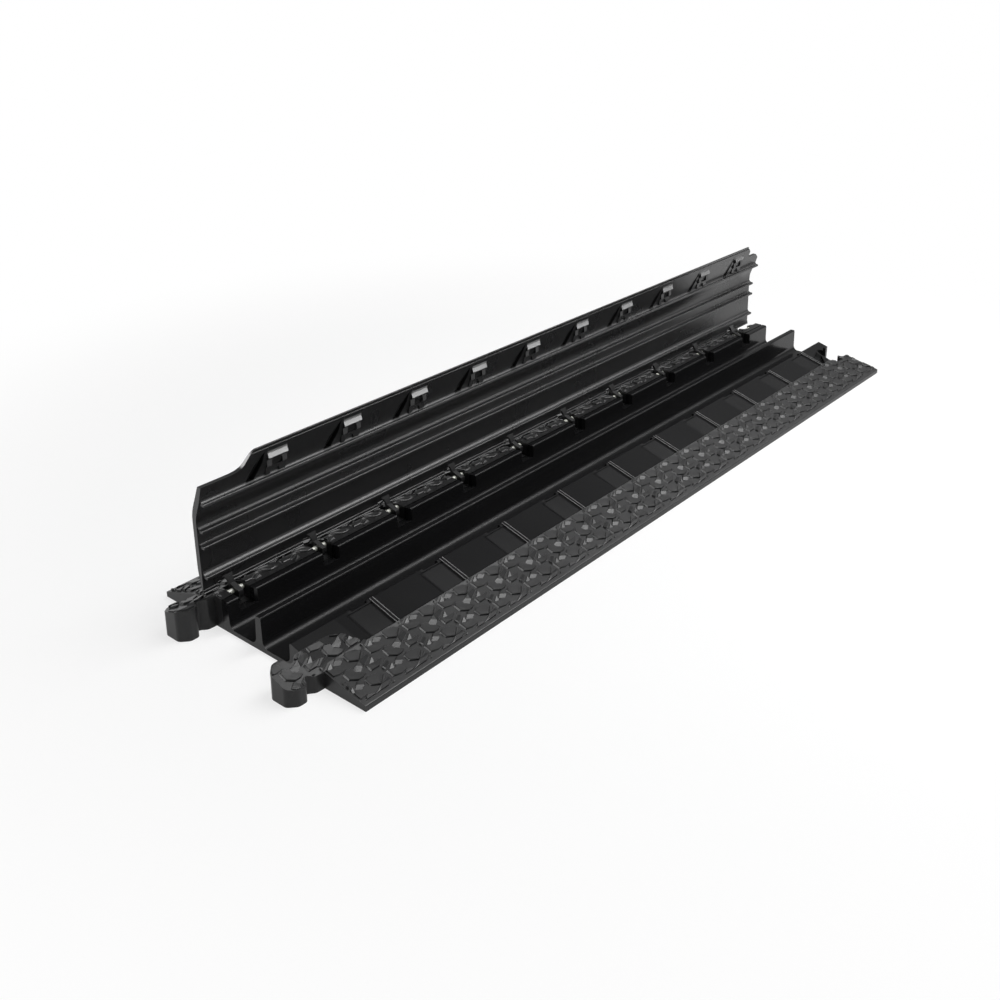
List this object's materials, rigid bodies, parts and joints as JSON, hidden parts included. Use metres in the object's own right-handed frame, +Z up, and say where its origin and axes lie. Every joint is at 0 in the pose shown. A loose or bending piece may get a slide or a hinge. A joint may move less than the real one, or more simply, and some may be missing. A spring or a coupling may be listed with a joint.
{
  "type": "cable protector ramp",
  "caption": "Low floor ramp that shields cables in open channels under a long hinged lid, with hammer-head connectors at its ends.",
  "frame": {"origin": "on the floor, under the middle of the whole part's bounding box", "axes": "+X along the ramp away from the male connectors, +Y from the front toe to the hinge side, +Z up"},
  "size_m": [1.039, 0.272, 0.1625],
  "materials": {
    "base_moulding": "black polyurethane, satin on smooth lands and dull on the tread",
    "lid_moulding": "black polyurethane, satin inside and dull on the outer tread",
    "hinge_rod": "drawn glass-fibre rod",
    "rod_plug": "black, dull"
  },
  "bodies": {
    "base": {"base": "base_moulding", "hinge_rod": "hinge_rod", "rod_end_plugs": "rod_plug"},
    "lid": {"lid": "lid_moulding"}
  },
  "joints": [
    {"name": "lid_hinge", "type": "hinge", "parent": "base", "child": "lid", "pos_m": [0, 0.059, 0.0275], "axis": [1, 0, 0], "range_deg": [0, 90]}
  ]
}
